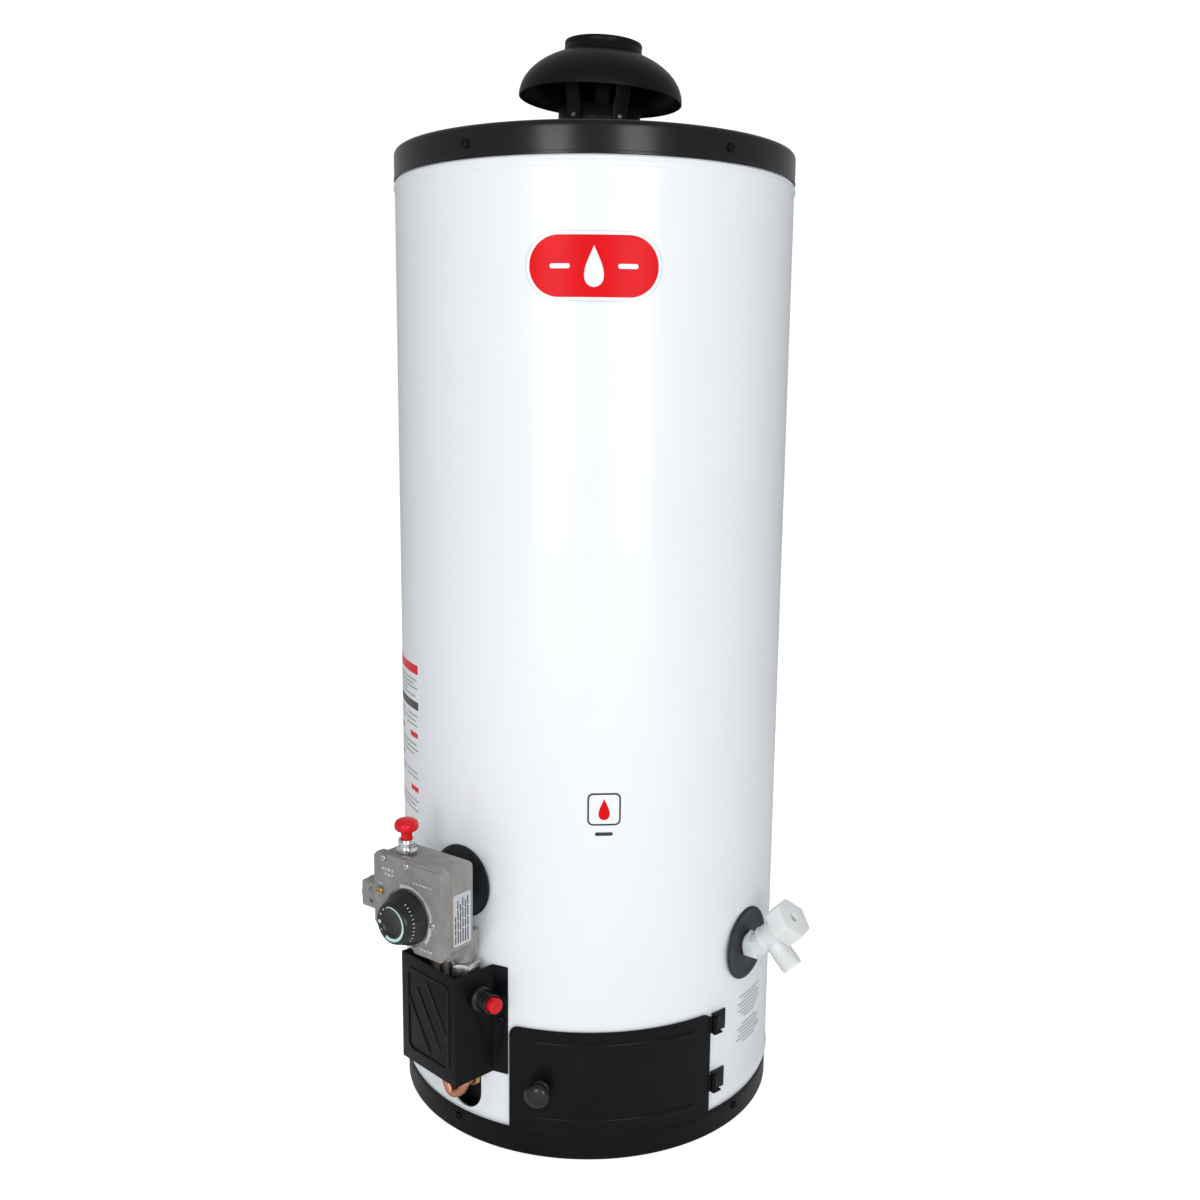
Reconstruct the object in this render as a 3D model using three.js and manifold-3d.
// Gas storage water heater: a white jacket on a black base pan, a draft hood on top, a gas control and a
// burner shield on the left of the front, a drain valve on the right, and the tank, flue and burner inside.
// Units are millimetres, +Z is up, the front faces -Y and the floor is z = 0. An azimuth is measured in
// degrees from the front, positive towards +X, so a point at azimuth a and radius r is (r sin a, -r cos a).
import * as THREE from "three";
import { mergeVertices } from "three/addons/utils/BufferGeometryUtils.js";
import Module from "manifold-3d";

const kernel = await Module();
kernel.setup();

// ---- overall sizes -------------------------------------------------------------------------------------
const jacketRadius = 190; // outside of the white jacket
const bodyHeight = 929; // floor to the top of the top cover
const sheet = 1; // thickness of the jacket, pan, cover, door and shield
const clearance = 0.3; // gap left between pieces that touch

// ---- base pan and top cover ----------------------------------------------------------------------------
const panRadius = jacketRadius - 0.4;
const panHeight = 26;
const coverRadius = jacketRadius + 0.8;
const coverDepth = 28; // height of the top cover's skirt
const coverBottom = bodyHeight - coverDepth;
const lipOverlap = 20; // how far the jacket's ends reach into the pan and the cover
const beadRise = 1.2; // the two rolled beads round the jacket
const coverScrewHeight = bodyHeight - 15.5;
const coverScrewAngles = [-35, 37, 109, 181, 253];
const panScrewHeight = 16.5;
const panScrewAngles = [-41, 50, 140, 230];

// ---- tank, flue and insulation -------------------------------------------------------------------------
const tankRadius = jacketRadius - 30;
const tankWall = 2;
const tankTop = bodyHeight - 77;
const chamberTop = 150; // combustion chamber below, water above
const flueRadius = 35;
const nippleSpacing = 203.2; // between the two water connections
const nippleRadius = 13.3;
const nippleBore = 10.2;
const nippleRise = 22; // above the top cover

// ---- draft hood ----------------------------------------------------------------------------------------
const hoodLean = 3; // degrees towards +X
const hoodShift = 1.8;
const neckRadius = 39;
const neckRise = 42; // neck top above the top cover
const domeRadius = 77.5;
const domeRise = 46; // height of the ellipse the dome follows
const domeGap = 10; // from the top of the neck to the rim of the dome
const collarRadius = 36.5;
const collarRise = 103; // collar top above the top cover
const hoodLegAngles = [-36, 28, 178];

// ---- access door ---------------------------------------------------------------------------------------
const doorFrom = -22;
const doorTo = 37.5;
const doorBottom = 27.5;
const doorTop = 130;
const doorRadius = jacketRadius + 1.7; // inside face, clear of the rolled bead
const doorCorner = 9;
const hingeAngle = 38.9;
const hingeRadius = jacketRadius + 4.3;
const hingeHeights = [50, 110]; // bottoms of the two knuckles
const knuckleLength = 16;
const knobAngle = -12.8;
const knobHeight = 72;

// ---- gas control, in a frame turned to its azimuth: x outwards, y to the right, z up -------------------
const controlAngle = -38;
const controlHeight = 259.6;
const controlBack = jacketRadius + 32;
const controlFront = jacketRadius + 60;
const coverPlate = 8.3; // thickness of the cast cover plate
const controlLeft = -40;
const controlRight = 44;
const controlLow = controlHeight - 41;
const controlHigh = controlHeight + 38;
const shankRadius = 12.5;
const dialHeight = controlHeight - 12.6;
const dialRadius = 25;
const pilotButtonAt = [controlFront - 7, -18];
const outletAt = [jacketRadius + 15, 16]; // vertical axis of the gas outlet and its nut
const escutcheonRadius = 34.3;
const escutcheonSheet = 1.5;

// ---- burner shield, in its own frame: x outwards, y to the right, z up ---------------------------------
const shieldOffset = 26.529; // round the jacket, from the control to the shield
const shieldAngle = controlAngle - (shieldOffset / jacketRadius) * (180 / Math.PI);
const shieldFront = jacketRadius + 35.4;
const shieldLeft = -20;
const shieldRight = 61.4;
const shieldBottom = 79.2;
const shieldTop = 185.8;
const shieldFlange = [-60, -22.6]; // azimuths where the two flanges end
const shieldScrews = [[-24.7, 133], [-57.8, 133]];
const piezoAt = [jacketRadius + 7, 158.6]; // distance out and height of the igniter's axis
const piezoReach = 9; // how far the igniter reaches in behind the shield's side

// ---- pipe hole, gas tube and burner --------------------------------------------------------------------
const pipeHoleAngle = -37.4;
const pipeHoleWidth = 38;
const pipeHole = [32, 112]; // bottom and top of the oblong hole
const gasTubeRadius = 4.5;
const burnerRadius = 62;
const burnerHeight = 72;

// ---- drain valve, in a frame turned to its azimuth -----------------------------------------------------
const drainAngle = 53.7;
const drainHeight = 183;
const drainTilt = 45; // the barrel and handle lean this far up
const drainEscutcheon = 35.3;
const drainPort = 9.5;
const barrelRadius = 12;
const spoutRadius = 10.7;
const handleRadius = 20.6;
const handleTurn = 24; // degrees from a corner uppermost
const handleFrom = 36; // along the barrel axis
const handleTo = 55;

// ---- materials -----------------------------------------------------------------------------------------
const paint = (color, roughness, metalness = 0) =>
  new THREE.MeshStandardMaterial({ color, roughness, metalness });
const white = paint(0xe9edf2, 0.28);
const black = paint(0x1b1b1e, 0.42);
const slate = paint(0x23272b, 0.55);
const steel = paint(0x8d9094, 0.4, 0.9);
const cast = paint(0x8f8d88, 0.5, 0.7);
const zinc = paint(0xa2a3a3, 0.42, 0.85);
const brass = paint(0xb08a45, 0.35, 0.9);
const copper = paint(0xb9714c, 0.35, 0.9);
const red = paint(0xd8202a, 0.3);
const gloss = paint(0x101012, 0.2);
const plastic = paint(0xf2f2ee, 0.35);
const foam = paint(0xd9c88f, 0.95);
const enamel = paint(0x3c4a5c, 0.35);
const galvanised = paint(0xb4b8bb, 0.45, 0.85);

// ---- solids --------------------------------------------------------------------------------------------
const rad = THREE.MathUtils.degToRad;
const SMOOTH = 48; // sides of the jacket and everything concentric with it
const INNER = 36; // sides of the tank, the flue and the hood

// A boolean solid from a three.js geometry, with its faces turned outwards.
function solid(geometry) {
  const bare = geometry.clone();
  bare.deleteAttribute("normal");
  bare.deleteAttribute("uv");
  const merged = mergeVertices(bare, 1e-4);
  const corners = merged.index.array;
  const faces = [];
  for (let i = 0; i < corners.length; i += 3) {
    const [a, b, c] = corners.slice(i, i + 3);
    if (a !== b && b !== c && c !== a) faces.push([a, b, c]);
  }
  const build = (triangles) =>
    new kernel.Manifold(
      new kernel.Mesh({
        numProp: 3,
        vertProperties: merged.attributes.position.array,
        triVerts: new Uint32Array(triangles.flat()),
      }),
    );
  const first = build(faces);
  return first.volume() < 0 ? build(faces.map(([a, b, c]) => [a, c, b])) : first;
}

// The three.js geometry of a boolean solid.
function shell(body) {
  const mesh = body.getMesh();
  const points = new Float32Array(mesh.numVert * 3);
  for (let i = 0; i < mesh.numVert; i++) {
    const from = i * mesh.numProp;
    points.set(mesh.vertProperties.subarray(from, from + 3), i * 3);
  }
  const geometry = new THREE.BufferGeometry();
  geometry.setAttribute("position", new THREE.BufferAttribute(points, 3));
  geometry.setIndex(new THREE.BufferAttribute(mesh.triVerts, 1));
  geometry.computeVertexNormals();
  return geometry;
}

const join = (...bodies) => bodies.reduce((whole, body) => whole.add(body));
const cut = (body, ...tools) => tools.reduce((rest, tool) => rest.subtract(tool), body);

// A profile of [radius, height] points turned about Z; it closes on itself unless it meets the axis.
function turned(profile, sides = INNER) {
  const points = profile.map(([r, z]) => new THREE.Vector2(r, z));
  if (profile[0][0] > 0) points.push(points[0].clone());
  return new THREE.LatheGeometry(points, sides).rotateX(Math.PI / 2);
}

// Places geometry drawn in a turned frame (x outwards, y right, z up) at its azimuth.
function aimed(geometry, azimuth) {
  return geometry.rotateZ(rad(azimuth) - Math.PI / 2);
}

// A cylinder along X of the turned frame, from one distance to another, at height z and offset y.
function radial(radius, from, to, z = 0, y = 0, sides = 24) {
  const geometry = new THREE.CylinderGeometry(radius, radius, to - from, sides);
  return geometry.rotateZ(-Math.PI / 2).translate((from + to) / 2, y, z);
}

// A turned piece whose axis is X of the turned frame: [radius, distance] points.
function knobbed(profile, z = 0, y = 0, sides = 24) {
  return turned(profile, sides).rotateY(Math.PI / 2).translate(0, y, z);
}

// An upright cylinder.
function upright(radius, from, to, x = 0, y = 0, sides = 24) {
  const geometry = new THREE.CylinderGeometry(radius, radius, to - from, sides);
  return geometry.rotateX(Math.PI / 2).translate(x, y, (from + to) / 2);
}

// A box given by its limits.
function block(x0, x1, y0, y1, z0, z1) {
  const geometry = new THREE.BoxGeometry(x1 - x0, y1 - y0, z1 - z0);
  return geometry.translate((x0 + x1) / 2, (y0 + y1) / 2, (z0 + z1) / 2);
}

// A closed outline of [x, y] points.
function outline(points) {
  return new THREE.Shape(points.map(([x, y]) => new THREE.Vector2(x, y)));
}

// A plate whose outline lies in (y, z) of the turned frame and whose thickness runs outwards.
function plate(shape, from, to, curveSegments = 4) {
  const geometry = new THREE.ExtrudeGeometry(shape, {
    depth: to - from,
    bevelEnabled: false,
    curveSegments,
  });
  const turn = new THREE.Matrix4().makeBasis(
    new THREE.Vector3(0, 1, 0),
    new THREE.Vector3(0, 0, 1),
    new THREE.Vector3(1, 0, 0),
  );
  return geometry.applyMatrix4(turn).translate(from, 0, 0);
}

// A rectangle with rounded corners, given by its limits.
function roundedRectangle(x0, x1, y0, y1, r) {
  const shape = new THREE.Shape();
  shape.moveTo(x0 + r, y0);
  shape.lineTo(x1 - r, y0);
  shape.absarc(x1 - r, y0 + r, r, -Math.PI / 2, 0, false);
  shape.lineTo(x1, y1 - r);
  shape.absarc(x1 - r, y1 - r, r, 0, Math.PI / 2, false);
  shape.lineTo(x0 + r, y1);
  shape.absarc(x0 + r, y1 - r, r, Math.PI / 2, Math.PI, false);
  shape.lineTo(x0, y0 + r);
  shape.absarc(x0 + r, y0 + r, r, Math.PI, 1.5 * Math.PI, false);
  return shape;
}

// Points on a circle about the heater's axis, from one azimuth to another, no step over 5 degrees.
function arc(radius, from, to) {
  const steps = Math.max(1, Math.ceil(Math.abs(to - from) / 5));
  return Array.from({ length: steps + 1 }, (_, i) => {
    const a = rad(from + ((to - from) * i) / steps);
    return [radius * Math.sin(a), -radius * Math.cos(a)];
  });
}

// A curved piece between two radii, two azimuths and two heights.
function sector(inner, outer, from, to, low, high) {
  const shape = outline([...arc(outer, from, to), ...arc(inner, to, from)]);
  const geometry = new THREE.ExtrudeGeometry(shape, { depth: high - low, bevelEnabled: false });
  return geometry.translate(0, 0, low);
}

// A round bar or tube filled solid along a smooth line through the points.
function bar(points, radius, sides = 8, steps = 40) {
  const circle = new THREE.Shape();
  circle.absarc(0, 0, radius, 0, 2 * Math.PI, false);
  const path = new THREE.CatmullRomCurve3(points.map((p) => new THREE.Vector3(...p)));
  return new THREE.ExtrudeGeometry(circle, {
    extrudePath: path,
    steps,
    curveSegments: sides / 2,
    bevelEnabled: false,
  });
}

// The outline of a strip of sheet that follows a bent line, on the left of it.
function ribbon(line, thickness) {
  const points = line.map(([x, y]) => new THREE.Vector2(x, y));
  const normal = (i) => {
    const along = points[i + 1].clone().sub(points[i]).normalize();
    return new THREE.Vector2(-along.y, along.x);
  };
  const side = points.map((point, i) => {
    const before = normal(Math.max(0, i - 1));
    const after = normal(Math.min(points.length - 2, i));
    const middle = before.clone().add(after).normalize();
    return point.clone().addScaledVector(middle, thickness / middle.dot(after));
  });
  return new THREE.Shape([...points, ...side.reverse()]);
}

function mesh(name, body, material) {
  const made = new THREE.Mesh(shell(body), material);
  made.name = name;
  return made;
}

// ---- screws --------------------------------------------------------------------------------------------
const screwHead = 3.9;
const screwShank = 1.8;
const screwHole = 2.3;

// A slotted pan-head screw along X, its head standing on the plane x = 0.
function screw(length, head = screwHead, shank = screwShank) {
  const profile = [
    [0, -length], [shank, -length], [shank, 0], [head, 0], [head, 1.2], [head * 0.6, 2.2], [0, 2.2],
  ];
  const slot = block(1.5, 3, -head * 0.7, head * 0.7, -0.5, 0.5);
  return cut(solid(knobbed(profile, 0, 0, 10)), solid(slot));
}

// A row of radial screws round the heater, each its own piece.
function radialScrews(name, places, seat, length, material) {
  return places.map(([azimuth, z], i) => {
    const made = mesh(name + "_" + (i + 1), screw(length), material);
    const a = rad(azimuth);
    made.position.set((seat + clearance) * Math.sin(a), -(seat + clearance) * Math.cos(a), z);
    made.rotation.z = a - Math.PI / 2;
    return made;
  });
}

const screwHoles = (places) =>
  places.map(([azimuth, z]) =>
    solid(aimed(radial(screwHole, jacketRadius - 12, jacketRadius + 6, z, 0, 8), azimuth)),
  );
const coverScrews = coverScrewAngles.map((azimuth) => [azimuth, coverScrewHeight]);
const panScrews = panScrewAngles.map((azimuth) => [azimuth, panScrewHeight]);

// ---- the case ------------------------------------------------------------------------------------------

// The dished black pan the heater stands in, with a ring of air holes round its floor.
function basePan() {
  const r = panRadius;
  const dish = turned(
    [
      [0, 0], [r - 3, 0], [r, 3], [r, panHeight], [r - sheet, panHeight],
      [r - sheet, 3.4], [r - 3.4, 1.2], [0, 1.2],
    ],
    SMOOTH,
  );
  const airHoles = Array.from({ length: 8 }, (_, i) =>
    solid(aimed(upright(13, -1, 3, tankRadius - 42, 0, 16), i * 45 + 20)),
  );
  return mesh("base_pan", cut(solid(dish), ...airHoles, ...screwHoles(panScrews)), black);
}

// The oblong opening the gas tube and the leads go through, as a cutter between two distances.
function pipeHoleCutter(from, to, margin = 0) {
  const half = pipeHoleWidth / 2 + margin;
  const shape = roundedRectangle(-half, half, pipeHole[0] - margin, pipeHole[1] + margin, half - 0.1);
  return solid(aimed(plate(shape, from, to, 8), pipeHoleAngle));
}

// The opening behind the access door.
const accessOpening = (inner, outer) =>
  solid(sector(inner, outer, doorFrom + 7, doorTo - 7, doorBottom + 15, doorTop - 18));

// The white jacket: a plain cylinder with a rolled bead near each end and drawn-in lips.
function jacket() {
  const r = jacketRadius;
  const low = panHeight + 1.5;
  const high = coverBottom - 1.5;
  const bead = (z) => [[r, z - 4], [r + beadRise, z - 1.8], [r + beadRise, z + 1.8], [r, z + 4]];
  const profile = [
    [r - 2, panHeight - lipOverlap], [r - 2, low], [r, low + 2.2],
    ...bead(low + 7),
    ...bead(high - 5),
    [r, high], [r - 0.8, high + 1], [r - 0.8, coverBottom + lipOverlap],
    [r - 0.8 - sheet, coverBottom + lipOverlap], [r - 0.8 - sheet, high + 0.6], [r - sheet, high - 0.6],
    [r - sheet, low + 2.8], [r - 2 - sheet, low + 0.6], [r - 2 - sheet, panHeight - lipOverlap],
  ];
  const holes = [
    accessOpening(r - 8, r + 8),
    pipeHoleCutter(r - 12, r + 8),
    solid(aimed(radial(20, r - 15, r + 8, controlHeight, 0, 24), controlAngle)),
    solid(aimed(radial(17, r - 15, r + 8, drainHeight, 0, 24), drainAngle)),
    ...screwHoles([...coverScrews, ...panScrews, ...shieldScrews]),
  ];
  return mesh("jacket", cut(solid(turned(profile, SMOOTH)), ...holes), white);
}

// The black top cover with its round edge, its flue opening and the openings of the two water connections.
function topCover() {
  const r = coverRadius;
  const h = bodyHeight;
  const profile = [
    [r, coverBottom], [r, h - 4.5], [r - 1.3, h - 1.3], [r - 4.5, h],
    [neckRadius + 3.5, h], [neckRadius + 3.5, h - sheet],
    [r - 4.7, h - sheet], [r - 2, h - 2], [r - sheet, h - 4.7], [r - sheet, coverBottom],
  ];
  const holes = [-1, 1].map((side) =>
    solid(upright(nippleRadius + 1.5, h - 5, h + 5, (side * nippleSpacing) / 2)),
  );
  return mesh("top_cover", cut(solid(turned(profile, SMOOTH)), ...holes, ...screwHoles(coverScrews)), black);
}

// ---- tank, flue and water connections ------------------------------------------------------------------

// The tank's cylinder, which runs on down as a skirt round the combustion chamber.
function tankShell() {
  const r = tankRadius;
  const floor = 1.2 + clearance;
  const profile = [[r, floor], [r, tankTop], [r - tankWall, tankTop], [r - tankWall, floor]];
  return mesh(
    "tank_shell",
    cut(
      solid(turned(profile)),
      accessOpening(r - 8, r + 8),
      pipeHoleCutter(r - 20, r + 12),
      solid(aimed(radial(shankRadius + 0.6, r - 20, r + 20, controlHeight), controlAngle)),
      solid(aimed(radial(drainPort + 0.6, r - 20, r + 20, drainHeight), drainAngle)),
    ),
    steel,
  );
}

// A dished head inside the tank's cylinder; its rim starts at z and its crown rises above it.
function tankHead(name, rim, crown, ports) {
  const out = tankRadius - tankWall - 0.6;
  const hole = flueRadius + 0.5;
  const steps = 3;
  const curve = (drop) =>
    Array.from({ length: steps + 1 }, (_, i) => {
      const r = out - drop - ((out - drop - hole) * i) / steps;
      const share = (r - hole) / (out - hole);
      return [r, rim + 12 + crown * (1 - share * share) - drop];
    });
  const outside = curve(0);
  const inside = curve(tankWall).reverse();
  const profile = [[out, rim], ...outside, ...inside, [out - tankWall, rim]];
  return mesh(name, cut(solid(turned(profile)), ...ports), steel);
}

function flueTube() {
  const top = bodyHeight - 4;
  const foot = chamberTop - 12;
  const profile = [[flueRadius, foot], [flueRadius, top], [flueRadius - 2, top], [flueRadius - 2, foot]];
  return mesh("flue_tube", solid(turned(profile)), steel);
}

// The zigzag strip that slows the flue gas, hanging from a crossbar on the flue's top edge.
function flueBaffle() {
  const top = bodyHeight - 4 + clearance;
  const folds = 14;
  const pitch = (tankTop - chamberTop - 60) / folds;
  const line = Array.from({ length: folds }, (_, i) => [i % 2 ? 11 : -11, top - 30 - i * pitch]);
  const zigzag = ribbon([[0, top + 0.5], [0, top - 12], ...line], 1.2);
  const strip = new THREE.ExtrudeGeometry(zigzag, { depth: 44, bevelEnabled: false });
  strip.rotateX(Math.PI / 2).translate(0, 22, 0);
  const reach = flueRadius - 0.6;
  const crossbar = block(-4, 4, -reach, reach, top, top + 1.5);
  return mesh("flue_baffle", join(solid(strip), solid(crossbar)), steel);
}

function insulation() {
  const out = jacketRadius - sheet - 0.8;
  const inner = tankRadius + 0.8;
  const [low, high] = [chamberTop, coverBottom - 10];
  const profile = [[out, low], [out, high], [inner, high], [inner, low]];
  return mesh(
    "insulation",
    cut(
      solid(turned(profile, SMOOTH)),
      solid(aimed(radial(shankRadius + 3, inner - 20, out + 20, controlHeight), controlAngle)),
      solid(aimed(radial(drainPort + 3, inner - 20, out + 20, drainHeight), drainAngle)),
    ),
    foam,
  );
}

// A threaded pipe nipple standing out of the top cover.
function nipple(name, side) {
  const [low, high] = [tankTop - 20, bodyHeight + nippleRise];
  const [r, b] = [nippleRadius, nippleBore];
  const profile = [[r, low], [r, high - 1.5], [r - 1.2, high], [b, high], [b, low]];
  const made = mesh(name, solid(turned(profile, 24)), steel);
  made.position.x = (side * nippleSpacing) / 2;
  return made;
}

// The plastic tube that carries cold water to the bottom of the tank, hanging in the cold nipple.
function dipTube() {
  const r = nippleBore - 0.5;
  const [low, high] = [chamberTop + 80, bodyHeight - 10];
  const profile = [[r, low], [r, high], [r - 1.6, high], [r - 1.6, low]];
  const made = mesh("dip_tube", solid(turned(profile, 16)), plastic);
  made.position.x = nippleSpacing / 2;
  return made;
}

// The sacrificial rod under the top cover, with the hexagonal head that screws into the tank.
function anodeRod() {
  const base = tankTop + 22;
  const rod = upright(9, tankTop - 480, base + 1, 0, 0, 16);
  const head = upright(15, base, base + 12, 0, 0, 6);
  const made = mesh("anode_rod", join(solid(rod), solid(head)), zinc);
  made.position.y = nippleSpacing / 2;
  return made;
}

// ---- draft hood ----------------------------------------------------------------------------------------
// Drawn about the hood's own axis, heights above the top cover.

function hoodNeck() {
  const r = neckRadius;
  const profile = [[r, -12], [r, neckRise], [r - sheet, neckRise], [r - sheet, -12]];
  return mesh("hood_neck", solid(turned(profile)), black);
}

const domeHeight = (r, a, b) => neckRise + domeGap + b * Math.sqrt(1 - (r / a) ** 2);

function hoodDome() {
  const t = 0.9;
  const hole = collarRadius + 0.4;
  const steps = 6;
  const curve = (a, b) =>
    Array.from({ length: steps + 1 }, (_, i) => {
      const turn = (Math.acos(hole / a) * i) / steps;
      return [a * Math.cos(turn), neckRise + domeGap + b * Math.sin(turn)];
    });
  const profile = [...curve(domeRadius, domeRise), ...curve(domeRadius - t, domeRise - t).reverse()];
  return mesh("hood_dome", solid(turned(profile)), black);
}

function hoodCollar() {
  const r = collarRadius;
  const foot = domeHeight(r, domeRadius, domeRise) - 6;
  const profile = [[r, foot], [r, collarRise], [r - sheet, collarRise], [r - sheet, foot]];
  return mesh("hood_collar", solid(turned(profile)), black);
}

// A bent strip from the side of the neck up to the underside of the dome.
function hoodLeg(index, azimuth) {
  const wide = 15;
  const under = (r) => domeHeight(r, domeRadius - 0.9, domeRise - 0.9) - 2.2;
  const near = neckRadius + 1.4;
  const line = [[near, neckRise - 30], [near, neckRise - 2], [50, under(50)], [62, under(62)]];
  const strip = new THREE.ExtrudeGeometry(ribbon(line, 1), { depth: wide, bevelEnabled: false });
  strip.rotateX(Math.PI / 2).translate(0, wide / 2, 0);
  return mesh("hood_leg_" + index, solid(aimed(strip, azimuth)), black);
}

function draftHood() {
  const hood = new THREE.Group();
  hood.add(hoodNeck(), hoodDome(), hoodCollar());
  hoodLegAngles.forEach((azimuth, i) => hood.add(hoodLeg(i + 1, azimuth)));
  hood.position.set(hoodShift, 0, bodyHeight);
  hood.rotation.y = rad(hoodLean);
  return hood;
}

// ---- access door ---------------------------------------------------------------------------------------

// Removes what lies outside a rounded upper corner of the door.
function cornerCutter(azimuth, side) {
  const r = doorCorner;
  const far = r + 3;
  const shape = new THREE.Shape();
  shape.moveTo(r, 0);
  shape.absarc(0, 0, r, 0, Math.PI / 2, false);
  shape.lineTo(0, far);
  shape.lineTo(far, far);
  shape.lineTo(far, 0);
  const tool = plate(shape, doorRadius - 6, doorRadius + 6, 6);
  if (side < 0) tool.scale(1, -1, 1);
  tool.translate(0, 0, doorTop - r);
  const centre = azimuth - side * THREE.MathUtils.radToDeg(r / doorRadius);
  return solid(aimed(tool, centre));
}

// The curved black door with two long embossed ribs and two knuckles on its right edge.
function accessDoor() {
  const [inner, outer] = [doorRadius, doorRadius + sheet];
  const rib = (low, high) =>
    solid(sector(outer - 0.4, outer + 1, doorFrom + 6.7, doorTo - 5.2, low, high));
  const knuckle = (z) => {
    const web = sector(inner + 0.1, outer + 0.8, doorTo - 0.6, hingeAngle - 0.3, z, z + knuckleLength);
    const eye = aimed(upright(3, z, z + knuckleLength, hingeRadius, 0, 16), hingeAngle);
    return join(solid(web), solid(eye));
  };
  const bore = (z) =>
    solid(aimed(upright(1.5, z - 3, z + knuckleLength + 3, hingeRadius, 0, 12), hingeAngle));
  const knobHole = solid(aimed(radial(3.4, inner - 5, outer + 5, knobHeight, 0, 16), knobAngle));
  const skin = cut(
    solid(sector(inner, outer, doorFrom, doorTo, doorBottom, doorTop)),
    cornerCutter(doorFrom, -1),
    cornerCutter(doorTo, 1),
    knobHole,
  );
  const ribs = [rib(doorBottom + 10.5, doorBottom + 16), rib(doorTop - 17, doorTop - 10.5)];
  const whole = join(skin, ...ribs, ...hingeHeights.map(knuckle));
  return mesh("access_door", cut(whole, ...hingeHeights.map(bore)), black);
}

// The glossy round knob and the stud that holds it through the door.
function doorKnob() {
  const seat = doorRadius + sheet + clearance;
  const profile = [
    [0, seat - 6], [3, seat - 6], [3, seat], [9, seat], [9, seat + 1.5], [6.5, seat + 3], [6.5, seat + 8],
    [11.5, seat + 9.5], [12.2, seat + 12], [11, seat + 15], [7.5, seat + 17.4], [0, seat + 18.2],
  ];
  return mesh("door_knob", solid(aimed(knobbed(profile, knobHeight), knobAngle)), gloss);
}

// A hinge bracket on the jacket: a strip, two lugs and the pin between them.
function doorHinge(name, z) {
  const low = z - 2;
  const high = z + knuckleLength + 2;
  const skin = jacketRadius + 0.5;
  const lug = (from) => solid(sector(skin, skin + 6, hingeAngle - 0.7, hingeAngle + 2.2, from, from + 1.5));
  const pin = aimed(upright(1.1, low + 0.5, high - 0.5, hingeRadius, 0, 12), hingeAngle);
  const strip = sector(skin, skin + 1.2, hingeAngle + 1.3, hingeAngle + 4.8, low, high);
  return mesh(name, join(solid(strip), lug(low), lug(high - 1.5), solid(pin)), black);
}

// ---- gas control ---------------------------------------------------------------------------------------
// All of it is drawn in the turned frame of the control and placed by one group.

// The cast outline shared by the cover plate and the gasket: the lower left is cut away.
function castOutline(inset) {
  const [l, r, low, high] = [controlLeft - 3.5, controlRight, controlLow - 4, controlHigh + 1.4];
  const step = controlLow + 9;
  const c = 4;
  return outline([
    [l + inset, high - c], [l + c, high - inset], [r - c, high - inset], [r - inset, high - c],
    [r - inset, low + c], [r - c, low + inset], [7, low + inset], [5 + inset, low + 3],
    [1 + inset, step + inset], [l + c, step + inset], [l + inset, step + c],
  ].reverse());
}

const coverScrewsAt = [[30.5, controlHeight - 12.5], [-1, controlHigh - 3.5]];

function controlBody() {
  const [x, y] = outletAt;
  const casting = plate(
    roundedRectangle(controlLeft, controlRight - 1, controlLow, controlHigh, 4),
    controlBack,
    controlFront,
    2,
  );
  const inletZ = controlHeight - 11;
  const inletX = controlFront - 13;
  const sideways = (tube) => tube.rotateX(Math.PI / 2).translate(inletX, controlLeft + 2, inletZ);
  const inlet = sideways(upright(12.5, 0, 34));
  const inletBore = sideways(upright(8.5, 14, 40, 0, 0, 20));
  const body = join(
    solid(casting),
    solid(radial(shankRadius, tankRadius - 12, controlBack + 2, controlHeight)),
    solid(radial(20, jacketRadius + 8, jacketRadius + 21, controlHeight, 0, 6)),
    solid(inlet),
    solid(block(x - 8, controlBack + 15, y - 11, y + 11, controlLow - 15, controlLow + 4)),
    solid(upright(10, controlLow - 26.5, controlLow - 13, x, y, 20)),
  );
  const probeBore = radial(5.5, tankRadius - 20, tankRadius, controlHeight, 0, 12);
  const bushingBore = upright(5.3, controlHigh - 13, controlHigh + 5, ...pilotButtonAt, 12);
  const screwBores = coverScrewsAt.map(([at, z]) =>
    solid(radial(1.9, controlFront - 4, controlFront + 4, z, at, 8)),
  );
  return mesh(
    "control_body",
    cut(body, solid(inletBore), solid(probeBore), solid(bushingBore), ...screwBores),
    cast,
  );
}

function controlGasket() {
  const from = controlFront + 0.2;
  const holes = coverScrewsAt.map(([at, z]) => solid(radial(2.2, from - 2, from + 3, z, at, 8)));
  const dialHole = solid(radial(6, from - 2, from + 3, dialHeight, 0, 16));
  const sheetOfPaper = solid(plate(castOutline(0.6), from, from + 0.7));
  return mesh("control_gasket", cut(sheetOfPaper, dialHole, ...holes), copper);
}

// The cast cover plate with the raised ring the dial sits in.
function controlCover() {
  const from = controlFront + 1.2;
  const to = from + coverPlate;
  const [outer, inner] = [dialRadius + 4, dialRadius + 2];
  const ring = [[outer, to - 1], [outer, to + 1.6], [inner, to + 1.6], [inner, to - 1]];
  const trim = solid(plate(castOutline(0.3), from, to + 3));
  const holes = coverScrewsAt.map(([at, z]) => solid(radial(2.1, from - 3, to + 4, z, at, 8)));
  const seats = coverScrewsAt.map(([at, z]) => solid(radial(5, to, to + 5, z, at, 14)));
  const shaft = solid(radial(4.6, from - 3, to + 5, dialHeight, 0, 16));
  const adjuster = solid(radial(2.3, from - 3, to + 5, controlHeight + 3, -36, 10));
  const raised = solid(knobbed(ring, dialHeight, 0, 36)).intersect(trim);
  const body = join(solid(plate(castOutline(0), from, to)), raised);
  return mesh("control_cover", cut(body, shaft, adjuster, ...holes, ...seats), cast);
}

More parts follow.
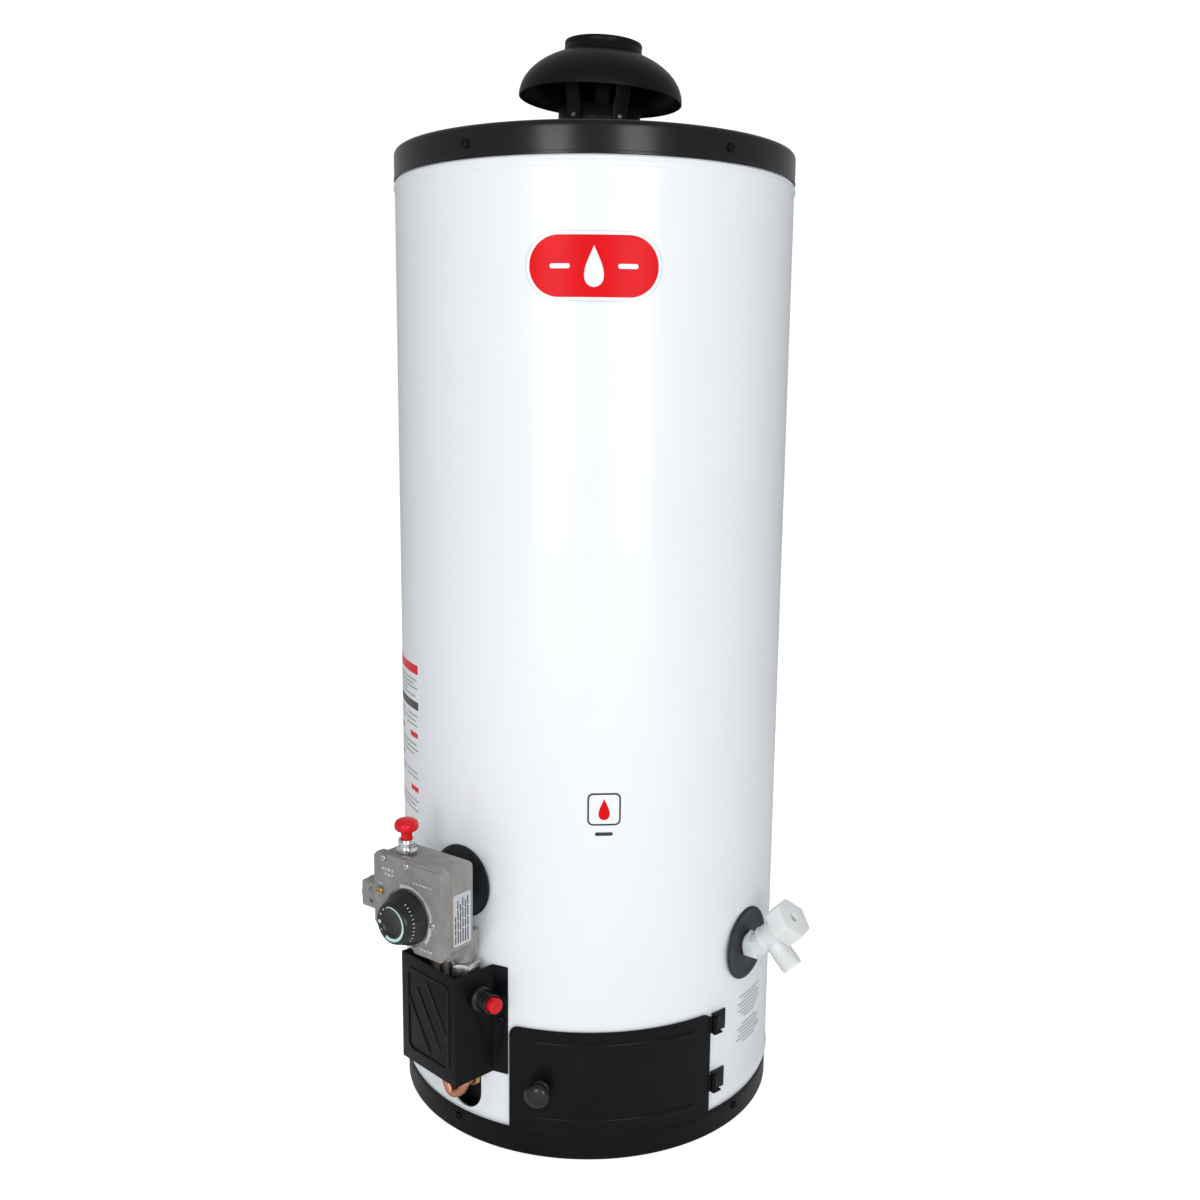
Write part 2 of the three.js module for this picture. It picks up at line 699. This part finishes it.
function thermostatProbe() {
  return mesh("thermostat_probe", solid(radial(5, 60, tankRadius - 1, controlHeight, 0, 12)), copper);
}

// The chromed bushing the red pilot button slides in.
function pilotBushing() {
  const seat = controlHigh + 1.7;
  const profile = [
    [0, seat - 12], [4.9, seat - 12], [4.9, seat], [9.5, seat], [9.5, seat + 2.4],
    [7.6, seat + 3], [7.6, seat + 12], [5.7, seat + 12], [5.7, seat + 0.6], [0, seat + 0.6],
  ];
  const made = mesh("pilot_bushing", solid(turned(profile, 24)), zinc);
  made.position.set(...pilotButtonAt, 0);
  return made;
}

function pilotButton() {
  const seat = controlHigh + 1.7;
  const profile = [
    [0, seat + 6.5], [5.2, seat + 6.5], [5.2, seat + 19], [9.2, seat + 20], [10.9, seat + 22.5],
    [10.9, seat + 26], [9, seat + 29], [5, seat + 30.4], [0, seat + 30.8],
  ];
  const made = mesh("pilot_button", solid(turned(profile, 24)), red);
  made.position.set(...pilotButtonAt, 0);
  return made;
}

function temperatureDial() {
  const from = controlFront + 1.2 + coverPlate + 1.9;
  const profile = [
    [0, from - 7], [4, from - 7], [4, from], [dialRadius, from], [dialRadius, from + 3],
    [dialRadius - 6.5, from + 18], [dialRadius - 8, from + 19.5], [dialRadius - 11, from + 19.5],
    [dialRadius - 12, from + 18.5], [0, from + 18.5],
  ];
  return mesh("temperature_dial", solid(knobbed(profile, dialHeight, 0, 32)), gloss);
}

function controlScrews() {
  const seat = controlFront + 1.2 + coverPlate + clearance;
  const front = coverScrewsAt.map(([y, z], i) => {
    const made = mesh("control_screw_" + (i + 1), screw(11, 3.4, 1.5), zinc);
    made.position.set(seat, y, z);
    return made;
  });
  const adjuster = mesh("brass_adjusting_screw", screw(6, 4, 1.9), brass);
  adjuster.position.set(seat, -36, controlHeight + 3);
  return [...front, adjuster];
}

// A thin round cover plate over the hole where a fitting enters the jacket.
function escutcheon(name, radius, bore, z) {
  const from = jacketRadius + 0.4;
  const to = from + escutcheonSheet;
  const profile = [[radius, from], [radius, to - 0.5], [radius - 0.8, to], [bore, to], [bore, from]];
  return mesh(name, solid(knobbed(profile, z, 0, 32)), slate);
}

// The hexagonal nut on the gas outlet, drilled for the tube.
function outletNut() {
  const [x, y] = outletAt;
  const top = controlLow - 26.8;
  const hexagon = upright(15, top - 20, top, x, y, 6);
  const bore = upright(gasTubeRadius + 0.4, top - 25, top + 5, x, y, 12);
  return mesh("outlet_nut", cut(solid(hexagon), solid(bore)), zinc);
}

// The copper tube from the outlet nut, down inside the shield, round and in to the burner.
function gasTube() {
  const [x, y] = outletAt;
  const out = jacketRadius;
  const low = pipeHole[0] + 35;
  const points = [
    [x, y, controlLow - 30], [x, y, controlLow - 38], [x, y, controlLow - 49],
    [out + 16, y - 2, controlLow - 62],
    [out + 17, 2, controlLow - 84], [out + 17, -7, controlLow - 108], [out + 17, -9, low + 20],
    [out + 17, -7, low - 2], [out + 16, 0, low - 14], [out + 14, 9, low - 10], [out + 12, 13, low - 1.5],
    [out + 8, 13, low], [out + 2, 13, low], [out - 5, 13, low], [out - 12, 13, low], [out - 60, 8, low - 6],
    [60, 0, burnerHeight - 24], [20, 0, burnerHeight - 26], [3, 0, burnerHeight - 20],
    [0, 0, burnerHeight - 10],
  ];
  return mesh("burner_gas_tube", solid(bar(points, gasTubeRadius, 8, 64)), copper);
}

// The brass nut on the gas tube where it goes through the jacket.
function tubeNut() {
  const low = pipeHole[0] + 35;
  const hexagon = radial(8, jacketRadius - 6, jacketRadius + 4, low, 13, 6);
  const bore = radial(gasTubeRadius + 0.5, jacketRadius - 10, jacketRadius + 10, low, 13, 12);
  return mesh("tube_nut", cut(solid(hexagon), solid(bore)), brass);
}

// The thin tube and the lead from the control to the pilot burner.
function pilotTube() {
  const out = jacketRadius;
  const points = [
    [out + 36, -2, controlLow - 0.6], [out + 36, -2, controlLow - 7], [out + 28, -2, controlLow - 24],
    [out + 27, 0, controlLow - 60], [out + 27, 3, 128], [out + 20, 4, 107], [out, 3, 98], [out - 24, 2, 96],
    [120, 0, 93], [burnerRadius + 24.4, 0, 91],
  ];
  return mesh("pilot_tube", solid(bar(points, 2, 6, 40)), copper);
}

function thermocoupleLead() {
  const out = jacketRadius;
  const points = [
    [out + 36, -14, controlLow - 0.6], [out + 36, -14, controlLow - 7], [out + 28, -15, controlLow - 26],
    [out + 24, -17, 150], [out + 20, -17, 112], [out + 10, -16, 93], [out - 2, -13, 88], [out - 26, -10, 86],
    [120, -9, 86], [burnerRadius + 24.4, -7, 87],
  ];
  return mesh("thermocouple_lead", solid(bar(points, 1.5, 6, 40)), copper);
}

function gasControl() {
  const control = new THREE.Group();
  control.rotation.z = rad(controlAngle) - Math.PI / 2;
  control.add(
    controlBody(), controlGasket(), controlCover(), thermostatProbe(), pilotBushing(), pilotButton(),
    temperatureDial(), ...controlScrews(),
    escutcheon("control_escutcheon", escutcheonRadius, shankRadius + 0.6, controlHeight),
    outletNut(), gasTube(), tubeNut(), pilotTube(), thermocoupleLead(), pilotBurner(),
  );
  return control;
}

// ---- burner --------------------------------------------------------------------------------------------

// A hollow round burner with a mixing throat in its underside and a ring of slots round its edge.
function burner() {
  const [r, z] = [burnerRadius, burnerHeight];
  const profile = [
    [14, z - 6], [14, z + 1.5], [r - 10, z + 4], [r - 1.5, z + 7], [r - 1.5, z + 9], [r - 12, z + 11],
    [0, z + 12.5], [0, z + 14], [r - 12, z + 12.5], [r, z + 10], [r, z + 6], [r - 10, z + 2.5],
    [15.5, z], [15.5, z - 6],
  ];
  const body = solid(new THREE.LatheGeometry(profile.map(([a, b]) => new THREE.Vector2(a, b)).concat(
    new THREE.Vector2(...profile[0])), 24).rotateX(Math.PI / 2));
  const ports = Array.from({ length: 12 }, (_, i) =>
    solid(aimed(block(r - 4, r + 4, -4, 4, z + 7.3, z + 8.7), i * 30)),
  );
  return mesh("burner", cut(body, ...ports), steel);
}

// The bent strap that carries the burner over the pan's floor.
function burnerStrap() {
  const floor = 1.2 + clearance;
  const top = burnerHeight - 0.4;
  const [reach, wide] = [46, 40];
  const shape = outline([
    [-reach - 14, floor], [-reach, floor], [-reach, top - 1.5], [reach, top - 1.5], [reach, floor],
    [reach + 14, floor], [reach + 14, floor + 1.5], [reach + 1.5, floor + 1.5], [reach + 1.5, top],
    [-reach - 1.5, top], [-reach - 1.5, floor + 1.5], [-reach - 14, floor + 1.5],
  ]);
  const strap = new THREE.ExtrudeGeometry(shape, { depth: wide, bevelEnabled: false });
  strap.rotateX(Math.PI / 2).translate(0, wide / 2, 0);
  const hole = upright(16.2, top - 6, top + 3);
  const body = cut(solid(strap), solid(hole));
  const made = mesh("burner_strap", body, steel);
  made.rotation.z = rad(pipeHoleAngle);
  return made;
}

// The pilot burner and its bracket beside the main burner, in the frame of the control.
function pilotBurner() {
  const x = burnerRadius + 14;
  const bracket = block(x - 10, x + 10, -10, 6, 84, 85.5);
  const head = turned([[0, 80], [6, 80], [6, 97], [4, 99], [4, 93], [0, 93]], 16).translate(x + 4, 0, 0);
  const sensor = block(x, x + 10, -9.5, -4.5, 83, 94);
  return mesh("pilot_burner", join(solid(bracket), solid(head), solid(sensor)), zinc);
}

// ---- shield and igniter --------------------------------------------------------------------------------

// The open-ended hat section screwed to the jacket below the gas control.
function ignitionShield() {
  const skin = [jacketRadius + 0.4, jacketRadius + 0.4 + sheet];
  const turn = (x, y) => {
    const a = rad(shieldAngle);
    return [x * Math.sin(a) + y * Math.cos(a), -x * Math.cos(a) + y * Math.sin(a)];
  };
  const azimuthAt = (y, r) => shieldAngle + THREE.MathUtils.radToDeg(Math.asin(y / r));
  const leftIn = azimuthAt(shieldLeft + sheet, skin[0]);
  const leftOut = azimuthAt(shieldLeft, skin[1]);
  const rightIn = azimuthAt(shieldRight - sheet, skin[0]);
  const rightOut = azimuthAt(shieldRight, skin[1]);
  const shape = outline([
    ...arc(skin[0], shieldFlange[0], leftIn),
    turn(shieldFront - sheet, shieldLeft + sheet),
    turn(shieldFront - sheet, shieldRight - sheet),
    ...arc(skin[0], rightIn, shieldFlange[1]),
    ...arc(skin[1], shieldFlange[1], rightOut),
    turn(shieldFront, shieldRight),
    turn(shieldFront, shieldLeft),
    ...arc(skin[1], leftOut, shieldFlange[0]),
  ]);
  const strip = new THREE.ExtrudeGeometry(shape, { depth: shieldTop - shieldBottom, bevelEnabled: false });
  strip.translate(0, 0, shieldBottom);
  const hole = upright(7, 0, 20, 0, 0, 20).rotateX(-Math.PI / 2);
  hole.translate(piezoAt[0], shieldRight - 10, piezoAt[1]);
  const holes = [solid(aimed(hole, shieldAngle)), ...screwHoles(shieldScrews)];
  return mesh("ignition_shield", cut(solid(strip), ...holes), black);
}

// A piece turned about the igniter's axis, which runs along Y of the shield's frame: [radius, y] points.
function alongPiezo(profile, sides = 24) {
  const y = (r) => shieldRight + r;
  const geometry = turned(profile.map(([r, at]) => [r, y(at)]), sides);
  return solid(geometry.rotateX(-Math.PI / 2).translate(piezoAt[0], 0, piezoAt[1]));
}

function piezoIgniter() {
  const igniter = new THREE.Group();
  igniter.rotation.z = rad(shieldAngle) - Math.PI / 2;
  const body = alongPiezo([
    [0, -piezoReach], [6.4, -piezoReach], [6.4, clearance], [12, clearance], [12, 5], [9.4, 5.6], [9.4, 19],
    [7.7, 19], [7.7, 6], [0, 6],
  ]);
  const button = alongPiezo([[0, 12], [7.2, 12], [7.2, 24], [6, 25.2], [0, 25.2]]);
  igniter.add(mesh("piezo_body", body, gloss), mesh("piezo_button", button, red));
  return igniter;
}

// The insulated lead from the back of the igniter to the pilot burner, in the control's frame.
function igniterLead() {
  const a = rad(shieldAngle - controlAngle);
  const [x, y] = [piezoAt[0], shieldRight - piezoReach - 0.5];
  const from = [x * Math.cos(a) - y * Math.sin(a), x * Math.sin(a) + y * Math.cos(a), piezoAt[1]];
  const aim = [Math.sin(a), -Math.cos(a)];
  const along = (s, z) => [from[0] + s * aim[0], from[1] + s * aim[1], z];
  const points = [
    from, along(1.5, piezoAt[1]), along(4, piezoAt[1] - 3),
    [jacketRadius + 7, 20, 138], [jacketRadius + 7, 16, 118],
    [jacketRadius, 12, 104], [jacketRadius - 26, 10, 99], [120, 9, 95], [burnerRadius + 22.4, 8.5, 90],
    [burnerRadius + 16, 9, 88],
  ];
  const lead = mesh("igniter_lead", solid(bar(points, 1.6, 6, 40)), black);
  lead.rotation.z = rad(controlAngle) - Math.PI / 2;
  return lead;
}

// ---- drain valve ---------------------------------------------------------------------------------------

// A turned piece about the barrel's axis, which rises at the drain's tilt from the valve's centre.
function alongBarrel(geometry) {
  return solid(geometry.rotateY(-rad(drainTilt)).translate(jacketRadius + 12, 0, drainHeight));
}

function drainBody() {
  const out = jacketRadius;
  const s = 20.2; // where the spout leaves the barrel
  const inlet = solid(radial(drainPort, tankRadius - 12, out + 12, drainHeight));
  const wrench = solid(radial(14, out + 3.5, out + 18, drainHeight, 0, 6));
  const barrel = alongBarrel(radial(barrelRadius, -2, handleFrom - 1));
  const spout = alongBarrel(upright(spoutRadius, -36, 0, s));
  const ball = solid(new THREE.SphereGeometry(barrelRadius, 20, 12).translate(out + 12, 0, drainHeight));
  const stemBore = alongBarrel(radial(5.6, s + 1, handleFrom + 5, 0, 0, 16));
  const spoutBore = alongBarrel(upright(7.5, -40, -12, s, 0, 20));
  const body = cut(join(inlet, wrench, barrel, spout, ball), stemBore, spoutBore);
  return mesh("drain_valve_body", body, plastic);
}

// The hexagonal handle and the stem it turns.
function drainHandle() {
  const prism = radial(handleRadius, handleFrom, handleTo, 0, 0, 6).rotateX(-rad(handleTurn));
  const hexagon = alongBarrel(prism);
  const stem = alongBarrel(radial(5.2, 23, handleFrom + 1, 0, 0, 16));
  const socket = alongBarrel(radial(3.6, handleTo - 9, handleTo + 3, 0, 0, 16));
  return mesh("drain_handle", cut(join(hexagon, stem), socket), plastic);
}

function drainValve() {
  const drain = new THREE.Group();
  drain.rotation.z = rad(drainAngle) - Math.PI / 2;
  drain.add(
    drainBody(),
    drainHandle(),
    escutcheon("drain_escutcheon", drainEscutcheon, drainPort + 0.6, drainHeight),
  );
  return drain;
}

// ---- the whole heater ----------------------------------------------------------------------------------
const nipplePorts = (z) => [
  ...[-1, 1].map((side) => solid(upright(nippleRadius + 0.6, z - 40, z + 60, (side * nippleSpacing) / 2))),
  solid(upright(9.6, z - 40, z + 60, 0, nippleSpacing / 2, 16)),
];

const heater = new THREE.Group();
heater.name = "tank_water_heater";
heater.add(
  basePan(), jacket(), topCover(),
  tankShell(),
  tankHead("tank_top_head", tankTop - 14, 16, nipplePorts(tankTop)),
  tankHead("tank_bottom_head", chamberTop - 4, 12, []),
  flueTube(), flueBaffle(), insulation(),
  nipple("cold_inlet_nipple", 1), nipple("hot_outlet_nipple", -1), dipTube(), anodeRod(),
  draftHood(),
  accessDoor(), doorKnob(),
  doorHinge("door_hinge_lower", hingeHeights[0]), doorHinge("door_hinge_upper", hingeHeights[1]),
  gasControl(),
  burner(), burnerStrap(),
  ignitionShield(), piezoIgniter(), igniterLead(),
  drainValve(),
  ...radialScrews("cover_screw", coverScrews, coverRadius, 6, black),
  ...radialScrews("pan_screw", panScrews, panRadius, 5, black),
  ...radialScrews("shield_screw", shieldScrews, jacketRadius + 0.4 + sheet, 6, black),
);

export default heater;
